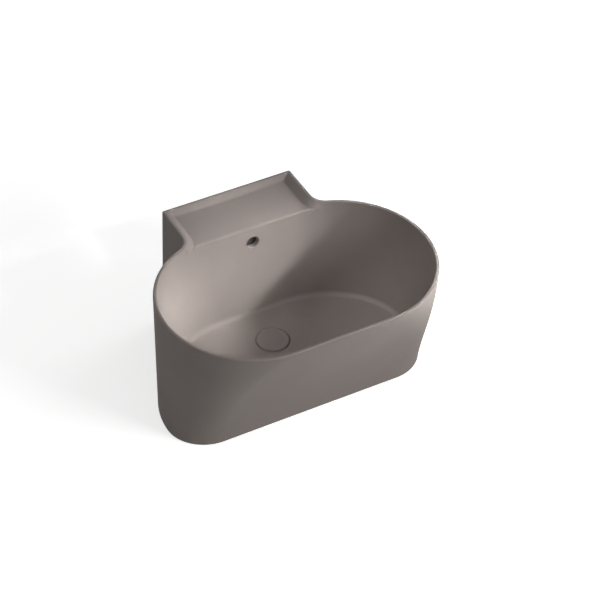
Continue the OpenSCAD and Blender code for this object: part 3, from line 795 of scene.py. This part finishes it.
# The overflow channel: half its width, its depth, wall, floor, ceiling under the bowl and top
# behind it, and where its shell starts beside the waste and ends in the riser
CHANNEL_HALF = 22 * MM
CHANNEL_DEPTH = 14 * MM
CHANNEL_WALL = 7 * MM
CHANNEL_FLOOR = 29 * MM
CHANNEL_CEILING = 37 * MM
CHANNEL_TOP = 263 * MM
SHELL_START = 38 * MM
SHELL_END = 12 * MM
# These keep the faces of two blocks that are joined out of one plane
NUDGE = 0.2 * MM
LIFT = 0.25 * MM


class AddCasting(bpy.types.Operator):
    """Adds the ceramic casting: bowl, ledge, skirt, waste boss and overflow channel"""

    bl_idname = "basin.add_casting"
    bl_label = "Casting"

    def execute(self, context):
        s = context.scene.basin_sizes
        piece = drawn_through("ceramic_basin", [whole(ring) for ring in casting_rings(s)])
        closed_skin(piece)
        neck = s.ledge_length / 2 - s.skirt
        wall_back = -s.wall_reach + BEHIND_BOWL
        ledge_under = s.height - s.ledge_drop - LEDGE_THICKNESS
        _, _, boss_foot, ceiling = heights_below(s)
        half, shell_half = CHANNEL_HALF, CHANNEL_HALF + CHANNEL_WALL
        into_bowl, into_floor = 6 * MM, 2 * MM
        space_soft, riser_soft, channel_soft = 5 * MM, 4 * MM, 1.5 * MM
        # The space behind the bowl, open below
        combined(piece, soft_box("space_behind", (-neck, wall_back, SPACE_FOOT),
                                 (neck, -s.skirt, ledge_under), space_soft), "DIFFERENCE")
        # The overflow channel's shell, along the boss and up the back of the bowl
        shell = soft_box("shell", (-shell_half, WASTE_Y + SHELL_START, boss_foot + LIFT),
                         (shell_half, wall_back + SHELL_END, ceiling + into_floor),
                         channel_soft)
        riser = soft_box(
            "riser", (-shell_half - NUDGE, wall_back - into_bowl, boss_foot + 2 * LIFT),
            (shell_half + NUDGE, wall_back + CHANNEL_DEPTH + CHANNEL_WALL,
             CHANNEL_TOP + CHANNEL_WALL), riser_soft)
        combined(shell, riser, "UNION")
        combined(piece, shell, "UNION")
        # Its inside, from the waste hole to the overflow hole
        inside = soft_box("inside", (-half + NUDGE, WASTE_Y, CHANNEL_FLOOR + NUDGE),
                          (half - NUDGE, wall_back + CHANNEL_DEPTH / 2, CHANNEL_CEILING),
                          channel_soft)
        up = soft_box("up", (-half, wall_back, CHANNEL_FLOOR),
                      (half, wall_back + CHANNEL_DEPTH, CHANNEL_TOP), channel_soft)
        combined(inside, up, "UNION")
        combined(piece, inside, "DIFFERENCE")
        combined(piece, overflow_tool(s, wall_back), "DIFFERENCE")
        for side in (-1, 1):
            combined(piece, fixing_hole_tool(s, side), "DIFFERENCE")
        shade(piece)
        even_shading(piece)
        ride(piece, "basin", ["basin_body"], finish_of("matt_glazed_china"))
        return {"FINISHED"}


# How far the overflow hole's middle lies under the rim, and the radius of the two fixing holes
OVERFLOW_DROP = 53 * MM
FIXING_HOLE_R = 14 * MM
# How far a cutting tool reaches past what it cuts
OVERRUN = 5 * MM


def overflow_tool(s, wall_back):
    """A round tool for the overflow hole, flared where the glaze softens the hole's mouth."""
    radius, soft = s.overflow / 2, 1.6 * MM
    depth = OVERFLOW_DROP / (s.height - s.floor_height)
    face = s.wall_reach + BACK_WALL + BACK_LEAN * depth
    start, end, steps = -wall_back - BEHIND_BOWL - face, 6 * MM, 5
    profile = [(0, start), (radius, start)]
    profile += [(radius + soft * (1 - cos(t)), -soft + soft * sin(t))
                for t in (pi / 2 * k / steps for k in range(steps + 1))]
    profile += [(radius + soft, end), (0, end)]
    tool = turned("overflow_tool", profile)
    lean = atan2(BACK_LEAN, s.height - s.floor_height)
    turn = Matrix.Rotation(pi / 2 - lean, 4, "X")
    place = Matrix.Translation((0, -face, BASE_Z + s.height - OVERFLOW_DROP))
    tool.data.transform(place @ turn @ Matrix.Translation((0, 0, -BASE_Z)))
    return closed_skin(tool)


def fixing_hole_tool(s, side):
    """A round tool for one of the two holes in the back plate."""
    end = s.skirt + OVERRUN
    tool = turned("fixing_hole_tool", [(0, -OVERRUN), (FIXING_HOLE_R, -OVERRUN),
                                       (FIXING_HOLE_R, end), (0, end)])
    place = Matrix.Translation((side * STUD_SPACING / 2, 0, 0))
    tool.data.transform(place @ Matrix.Rotation(pi / 2, 4, "X")
                        @ Matrix.Translation((0, 0, -BASE_Z)))
    return closed_skin(tool)


class AddCover(bpy.types.Operator):
    """Adds the ceramic cover in the middle of the waste"""

    bl_idname = "basin.add_cover"
    bl_label = "Cover"

    def execute(self, context):
        s = context.scene.basin_sizes
        foot, radius, edge, foot_edge = 47.5 * MM, s.cover / 2, 3 * MM, 0.8 * MM
        spigot_r, spigot_h, slope_share, steps = 8.05 * MM, 3.3 * MM, 0.35, 8
        crest_r, dish, dish_rings = radius - edge, foot + s.cover_lip - s.cover_dish, 6
        profile = [(0, foot + spigot_h), (spigot_r, foot + spigot_h), (spigot_r, foot),
                   (radius - 1 * MM, foot)]
        profile += arc(radius - foot_edge, foot + foot_edge, foot_edge, -90, 0, 4)
        profile += arc(crest_r, foot + s.cover_lip - edge, edge, 0, 90, steps)
        profile += [(crest_r * (1 - slope_share * k / steps),
                     mix(foot + s.cover_lip, dish, smooth(k / steps)))
                    for k in range(1, steps + 1)]
        inner_r = profile[-1][0]
        profile += [(inner_r * (1 - k / dish_rings), dish) for k in range(1, dish_rings + 1)]
        piece = closed_skin(turned("waste_cover", profile, (0, WASTE_Y), 128))
        even_shading(piece)
        ride(piece, "plug", ["drain_cover"], finish_of("matt_glazed_china"))
        return {"FINISHED"}


# Heights of the waste's flange and of what clamps it: backnut, washer, lower gasket and boss
FLANGE_TOP = 47 * MM
FLANGE_FOOT = 44.5 * MM
GASKET_FOOT = 43 * MM
BOSS_FOOT = 24 * MM
LOWER_GASKET_FOOT = 20 * MM
WASHER_FOOT = 18.5 * MM
NUT_FOOT = 11.5 * MM


class AddWaste(bpy.types.Operator):
    """Adds the chromed waste: flange, mouth, threaded tail, windows and the cartridge's arms"""

    bl_idname = "basin.add_waste"
    bl_label = "Waste"

    def execute(self, context):
        centre = (0, WASTE_Y)
        tail_r, bore_r, groove_r, pitch = 20.955 * MM, 18 * MM, 19.955 * MM, 2.309 * MM
        tail_foot, chamfer, flange_r = 2 * MM, 0.4 * MM, 31 * MM
        # Each stretch of thread: its two ends and how many pitches it fades out over
        low_thread, high_thread = (3 * MM, 10 * MM, 0.6), (11.5 * MM, 41 * MM, 1.0)
        low_edge, top_edge = 0.5 * MM, 1 * MM
        outside = [(bore_r + chamfer, tail_foot), (tail_r - 1 * MM, tail_foot)]
        outside += [(tail_r, z) for z in thread_stops(*low_thread[:2], pitch)]
        outside += [(groove_r, low_thread[1]), (groove_r, high_thread[0])]
        outside += [(tail_r, z) for z in thread_stops(*high_thread[:2], pitch)]
        outside += [(tail_r, FLANGE_FOOT), (30.6 * MM, FLANGE_FOOT)]
        outside += arc(flange_r - low_edge, FLANGE_FOOT + low_edge, low_edge, -60, 0, 3)
        outside += arc(flange_r - top_edge, FLANGE_TOP - top_edge, top_edge, 0, 90, 5)
        # Down into the mouth, whose cone ends in the bore
        outside += [(22.6 * MM, FLANGE_TOP), (21.7 * MM, FLANGE_TOP - 0.25 * MM),
                    (bore_r + 0.2 * MM, 43.2 * MM), (bore_r, 42.6 * MM),
                    (bore_r, tail_foot + chamfer), (bore_r + chamfer, tail_foot)]
        piece = closed_skin(turned("chromed_waste", outside, centre), 40)
        for low, high, runout in (low_thread, high_thread):
            cut_thread(piece, centre, low, high, tail_r, groove_r, pitch, runout)
        window_half, window_foot, window_top = 11 * MM, 29.5 * MM, 36.5 * MM
        for side in (-1, 1):
            near, far = sorted((WASTE_Y + side * 13.5 * MM, WASTE_Y + side * 26 * MM))
            combined(piece, soft_box("window", (-window_half, near, window_foot),
                                     (window_half, far, window_top), 1 * MM), "DIFFERENCE")
        combined(piece, self.carrier(centre), "UNION")
        shade(piece, 40)
        even_shading(piece)
        ride(piece, "basin", ["waste_body"], finish_of("chrome_plated_brass"))
        return {"FINISHED"}

    def carrier(self, centre):
        """The hub that holds the cartridge, on four arms that end in the tail's wall."""
        foot, top, hub_r, bore_r = 31 * MM, 37 * MM, 9.5 * MM, 7.05 * MM
        arm_half, set_in, soft = 2 * MM, 0.3 * MM, 0.6 * MM
        hub = closed_skin(turned("carrier", soft_profile([
            (bore_r, foot, 0), (hub_r, foot, soft), (hub_r, top, soft),
            (bore_r, top, 0)]), centre))
        for turn in (45, 135, 225, 315):
            arm = soft_box("arm", (8.3 * MM, -arm_half, foot + set_in),
                           (19.2 * MM, arm_half, top - set_in), soft)
            arm.data.transform(Matrix.Translation((*centre, 0))
                               @ Matrix.Rotation(radians(turn), 4, "Z"))
            combined(hub, arm, "UNION")
        return hub


class AddWasteSeals(bpy.types.Operator):
    """Adds what seals and clamps the waste: two gaskets, the slip washer and the backnut"""

    bl_idname = "basin.add_waste_seals"
    bl_label = "Waste seals and nut"

    def execute(self, context):
        centre = (0, WASTE_Y)
        hole_r, soft, slight = 21.255 * MM, 0.5 * MM, 0.3 * MM
        gasket_r, lower_r, washer_r = 31 * MM, 33 * MM, 30 * MM
        # The lower gasket's collar stands up into the hole
        collar_r, collar_top = 22.7 * MM, BOSS_FOOT + 2 * MM
        rings = (
            ("rubber_flange_gasket", "flange_gasket", "black_rubber", "moulded_rubber",
             [(hole_r, GASKET_FOOT, 0), (gasket_r, GASKET_FOOT, 0),
              (gasket_r, FLANGE_FOOT, soft), (hole_r, FLANGE_FOOT, 0)]),
            ("rubber_lower_gasket", "lower_gasket", "black_rubber", "moulded_rubber",
             [(hole_r, LOWER_GASKET_FOOT, soft), (lower_r, LOWER_GASKET_FOOT, soft),
              (lower_r, BOSS_FOOT, soft), (collar_r, BOSS_FOOT, 0),
              (collar_r, collar_top, soft), (hole_r, collar_top, soft)]),
            ("nylon_slip_washer", "slip_washer", "white_nylon", "moulded_nylon",
             [(hole_r, WASHER_FOOT, slight), (washer_r, WASHER_FOOT, soft),
              (washer_r, LOWER_GASKET_FOOT, soft), (hole_r, LOWER_GASKET_FOOT, slight)]),
        )
        for name, node, slot, finish, corners in rings:
            piece = closed_skin(turned(name, soft_profile(corners), centre))
            even_shading(piece)
            ride(piece, "basin", [node], finish_of(finish))
        nut = hex_nut("brass_backnut", 58 * MM, NUT_FOOT, WASHER_FOOT - NUT_FOOT,
                      21.005 * MM, centre)
        ride(nut, "basin", ["waste_backnut"], finish_of("turned_brass"))
        return {"FINISHED"}


class AddSpring(bpy.types.Operator):
    """Adds the coil spring in the cartridge's barrel"""

    bl_idname = "basin.add_spring"
    bl_label = "Spring"

    def execute(self, context):
        wire_r, coil_r, turns, per_turn, sides = 0.4 * MM, 3.8 * MM, 4, 32, 10
        low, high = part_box("cartridge_spring")
        foot, top = low.z + wire_r, high.z - wire_r
        rings = []
        for k in range(turns * per_turn + 1):
            share, angle = k / (turns * per_turn), tau * k / per_turn
            middle = Vector((0, WASTE_Y, mix(foot, top, share)))
            out = Vector((cos(angle), sin(angle), 0))
            rings.append([middle + out * (coil_r + wire_r * cos(t))
                          + Vector((0, 0, wire_r * sin(t)))
                          for t in (tau * j / sides for j in range(sides))])
        piece = closed_skin(drawn_through("coil_spring", rings, closed_ends=True), 50)
        ride(piece, "basin", ["cartridge_spring"],
             finish_of("drawn_spring_steel"))
        return {"FINISHED"}


class AddWallFixings(bpy.types.Operator):
    """Adds the two studs with their sleeves, washers and nuts"""

    bl_idname = "basin.add_wall_fixings"
    bl_label = "Wall fixings"

    def execute(self, context):
        s = context.scene.basin_sizes
        skirt, flange_top, sleeve_foot = s.skirt, s.skirt + 3 * MM, 2 * MM
        washer_top, nut_top = flange_top + 2.5 * MM, flange_top + 10.5 * MM
        bore_r, sleeve_r, flange_r, washer_r = 5.25 * MM, 13.7 * MM, 18 * MM, 15 * MM
        sharp, slight, soft, round_edge = 0.2 * MM, 0.3 * MM, 0.6 * MM, 0.8 * MM
        sleeve = closed_skin(turned("sleeve", soft_profile([
            (bore_r, sleeve_foot, slight), (sleeve_r, sleeve_foot, soft),
            (sleeve_r, skirt, 0), (flange_r, skirt, slight),
            (flange_r, flange_top, round_edge), (bore_r, flange_top, slight)])))
        washer = closed_skin(turned("washer", soft_profile([
            (bore_r, flange_top, sharp), (washer_r, flange_top, slight),
            (washer_r, washer_top, soft), (bore_r, washer_top, slight)])))
        nut = hex_nut("nut", 19.6 * MM, washer_top, nut_top - washer_top, 5 * MM)
        kinds = (
            (sleeve, ("nylon_sleeve_left", "nylon_sleeve_right"), "fixing_sleeves",
             "white_nylon", "moulded_nylon"),
            (washer, ("steel_washer_left", "steel_washer_right"), "fixing_washers",
             "zinc_steel", "zinc_plated_steel"),
            (nut, ("steel_nut_left", "steel_nut_right"), "fixing_nuts",
             "zinc_steel", "zinc_plated_steel"),
            (self.stud(), ("wall_stud_left", "wall_stud_right"), "wall_studs",
             "zinc_steel", "zinc_plated_steel"),
        )
        for first, names, node, slot, finish in kinds:
            for piece in onto_studs(first, names):
                even_shading(piece)
                ride(piece, "basin", [node], finish_of(finish))
        return {"FINISHED"}

    def stud(self):
        """A hanger bolt: a coarse thread with a taper for the wall, a plain shank, and a metric
        thread with a bevel for the nut."""
        wall_r, wall_root_r, nut_r, nut_root_r = 5 * MM, 3.6 * MM, 4.95 * MM, 4.25 * MM
        coarse, fine, tip_r, end_r, steps = 4 * MM, 1.5 * MM, 1.5 * MM, 3.45 * MM, 20
        tip, taper_end, shank_start = -62 * MM, -52 * MM, -12 * MM
        shank_end, nut_end, end = 1 * MM, 36.5 * MM, 38 * MM
        profile = [(0, tip)]
        profile += [(mix(tip_r, wall_r, k / steps), mix(tip, taper_end, k / steps))
                    for k in range(steps)]
        profile += [(wall_r, z) for z in thread_stops(taper_end, shank_start, coarse, 10)]
        profile += [(wall_r, shank_end)]
        profile += [(nut_r, z) for z in thread_stops(shank_end, nut_end, fine)]
        profile += [(end_r, end), (0, end)]
        stud = closed_skin(turned("stud", profile, sides=32), 40)
        cut_thread(stud, (0, 0), taper_end, shank_start, wall_r, wall_root_r, coarse, 0.5)
        cut_thread(stud, (0, 0), shank_end, nut_end, nut_r, nut_root_r, fine, 0.8)
        shade(stud, 50)
        return stud


CARRIED = {
    "cover_hub": "turned_brass",
    "cover_seal": "moulded_rubber",
    "cover_plunger": "turned_brass",
    "cartridge_barrel": "moulded_acetal",
    "cartridge_cap": "moulded_acetal",
    "latch_pin": "drawn_spring_steel",
}


class FinishCarried(bpy.types.Operator):
    """Gives the parts that keep their own shape their finishes"""

    bl_idname = "basin.finish_carried"
    bl_label = "Finishes of the carried parts"

    def execute(self, context):
        for name, finish in CARRIED.items():
            mesh = NODES[name].data
            mesh.materials.clear()
            mesh.materials.append(finish_of(finish))
        return {"FINISHED"}


class AddStage(bpy.types.Operator):
    """Adds the floor, the lights and the camera"""

    bl_idname = "basin.add_stage"
    bl_label = "Stage"

    def execute(self, context):
        add_floor(context.scene.basin_colours)
        add_world(context.scene)
        for softbox in SOFTBOXES:
            add_softbox(*softbox)
        add_camera(context.scene)
        return {"FINISHED"}


# The floor's side, its middle, and how far it lies under the basin's base
FLOOR_SIDE = 12
FLOOR_Y = -0.3
FLOOR_GAP = 0.2 * MM
# What the camera sees of the floor: a glow that makes it white, and its own lit surface,
# which keeps the shadow
FLOOR_GLOW = 0.6
FLOOR_SHARE = 1.0
# The even light of the room, and the white that mirrors and the camera see round the basin
FILL = 0.3
SURROUND = 1.0
# Where the lights aim: the whole basin, stretches of the bowl's wall at its back, left and
# right, and the ledge
AIM_BASIN, AIM_BACK = (0, -0.3, 0.2), (-0.05, -0.14, 0.12)
AIM_LEFT, AIM_RIGHT = (-0.2, -0.2, 0.2), (0.2, -0.28, 0.12)
AIM_LEDGE = (-0.02, -0.05, 0.29)
# Softboxes: name, aim, azimuth and elevation, distance, side, spread and power in watts
SOFTBOXES = (
    ("key_softbox", AIM_BASIN, -60, 28, 2.5, 0.9, 180, 28),
    ("right_softbox", AIM_BASIN, 20, 35, 2.5, 1.0, 180, 7),
    ("back_accent", AIM_BACK, -35, 32, 2.0, 0.25, 10, 0.36),
    ("back_wash", AIM_BACK, -50, 40, 2.0, 0.3, 12, 0.06),
    ("left_accent", AIM_LEFT, -30, 21, 2.0, 0.2, 9, 0.22),
    ("left_wash", AIM_LEFT, -30, 21, 2.0, 0.3, 16, 0.09),
    ("right_accent", AIM_RIGHT, 205, 50, 2.0, 0.3, 10, 0.13),
    ("ledge_accent", AIM_LEDGE, -90, 42, 2.0, 0.2, 8, 0.06),
)


def add_floor(c):
    """A painted board under the basin. The camera sees it lifted to white, with the basin's
    shadow."""
    deselect()
    bpy.ops.mesh.primitive_plane_add(size=FLOOR_SIDE, location=(0, FLOOR_Y, BASE_Z - FLOOR_GAP))
    floor = named("studio_floor")
    # Matt painted board: dull and even
    material, tree, shader, coords = new_material("pale_painted_floor")
    tree.nodes.remove(shader)
    noise = add_node(tree, "ShaderNodeTexNoise", {"Scale": 3.0, "Detail": 2.0}, Vector=coords)
    own = ramp(tree, noise.outputs["Fac"],
               [(0.3, darker(tuple(c.floor), 0.98)), (0.7, tuple(c.floor))])
    matt = add_node(tree, "ShaderNodeBsdfDiffuse", Color=own.outputs["Color"])
    seen = add_node(tree, "ShaderNodeBsdfDiffuse", {"Color": [FLOOR_SHARE] * 3 + [1]})
    glow = add_node(tree, "ShaderNodeEmission", {"Strength": FLOOR_GLOW})
    white = add_node(tree, "ShaderNodeAddShader")
    for socket, source in enumerate((seen.outputs["BSDF"], glow.outputs["Emission"])):
        tree.links.new(source, white.inputs[socket])
    path = add_node(tree, "ShaderNodeLightPath")
    pick = add_node(tree, "ShaderNodeMixShader", Fac=path.outputs["Is Camera Ray"])
    tree.links.new(matt.outputs["BSDF"], pick.inputs[1])
    tree.links.new(white.outputs["Shader"], pick.inputs[2])
    out = next(n for n in tree.nodes if n.type == "OUTPUT_MATERIAL")
    wire(tree, out, Surface=pick.outputs["Shader"])
    floor.data.materials.append(material)


def add_world(scene):
    """An even, faint light. The camera, mirrors and clear parts see it as plain white."""
    world = bpy.data.worlds.new("studio")
    world.use_nodes = True
    tree = world.node_tree
    tree.nodes.clear()
    path = add_node(tree, "ShaderNodeLightPath")
    seen = path.outputs["Is Camera Ray"]
    for ray in ("Is Glossy Ray", "Is Transmission Ray"):
        either = add_node(tree, "ShaderNodeMath", {"operation": "MAXIMUM"})
        tree.links.new(seen, either.inputs[0])
        tree.links.new(path.outputs[ray], either.inputs[1])
        seen = either.outputs["Value"]
    pick = add_node(tree, "ShaderNodeMixShader", Fac=seen)
    for socket, strength in ((1, FILL), (2, SURROUND)):
        light = add_node(tree, "ShaderNodeBackground",
                         {"Color": (1, 1, 1, 1), "Strength": strength})
        tree.links.new(light.outputs["Background"], pick.inputs[socket])
    add_node(tree, "ShaderNodeOutputWorld", Surface=pick.outputs["Shader"])
    scene.world = world


def add_softbox(name, aim, azimuth, elevation, distance, side, spread, power):
    """A square softbox at an azimuth, from +X, and an elevation, in degrees, as seen from the
    place that it aims at. A narrow spread lights little beside that place."""
    turn, rise = radians(azimuth), radians(elevation)
    towards = Vector((cos(turn) * cos(rise), sin(turn) * cos(rise), sin(rise)))
    deselect()
    bpy.ops.object.light_add(type="AREA",
                             location=Vector(aim) + Vector((0, 0, BASE_Z)) + towards * distance,
                             rotation=towards.to_track_quat("Z", "Y").to_euler())
    lamp = bpy.context.object
    lamp.name = lamp.data.name = name
    lamp.data.size, lamp.data.spread, lamp.data.energy = side, radians(spread), power


# The camera's place over the floor, its directions, its sensor's width and its lens, in mm
CAMERA_PLACE = (-1.833277, -3.389602, 3.491221)
CAMERA_RIGHT = (0.87329007, -0.48605398, 0.0334062)
CAMERA_UP = (0.3051823, 0.59918977, 0.74015903)
CAMERA_BACK = (-0.3797739, -0.63617855, 0.67160155)
CAMERA_SENSOR, CAMERA_LENS = 36, 144.18


def add_camera(scene):
    """The camera stands where the photograph's did: high, in front and to the left."""
    deselect()
    bpy.ops.object.camera_add()
    camera = bpy.context.object
    camera.name = camera.data.name = "photo_camera"
    place = Matrix.Translation(Vector(CAMERA_PLACE) + Vector((0, 0, BASE_Z)))
    turn = Matrix((CAMERA_RIGHT, CAMERA_UP, CAMERA_BACK)).transposed()
    camera.matrix_world = place @ turn.to_4x4()
    camera.data.sensor_width, camera.data.lens = CAMERA_SENSOR, CAMERA_LENS
    scene.camera = camera
    scene.view_settings.view_transform = "Standard"


OPERATORS = (AddCasting, AddCover, AddWaste, AddWasteSeals, AddSpring, AddWallFixings,
             FinishCarried, AddStage)


class BasinPanel(bpy.types.Panel):
    """Lists the pieces of the basin"""

    bl_idname = "BASIN_PT_pieces"
    bl_label = "Wall hung basin"
    bl_space_type = "VIEW_3D"
    bl_region_type = "UI"
    bl_category = "Basin"

    def draw(self, context):
        for operator in OPERATORS:
            self.layout.operator(operator.bl_idname)


CLASSES = (BasinSizes, BasinColours, *OPERATORS, BasinPanel)


def register():
    for cls in CLASSES:
        bpy.utils.register_class(cls)
    bpy.types.Scene.basin_sizes = PointerProperty(type=BasinSizes)
    bpy.types.Scene.basin_colours = PointerProperty(type=BasinColours)


def unregister():
    del bpy.types.Scene.basin_colours
    del bpy.types.Scene.basin_sizes
    for cls in reversed(CLASSES):
        bpy.utils.unregister_class(cls)


def main():
    register()
    bpy.ops.basin.add_casting()
    bpy.ops.basin.add_cover()
    bpy.ops.basin.add_waste()
    bpy.ops.basin.add_waste_seals()
    bpy.ops.basin.add_spring()
    bpy.ops.basin.add_wall_fixings()
    bpy.ops.basin.finish_carried()
    bpy.ops.basin.add_stage()


if __name__ == "__main__":
    main()
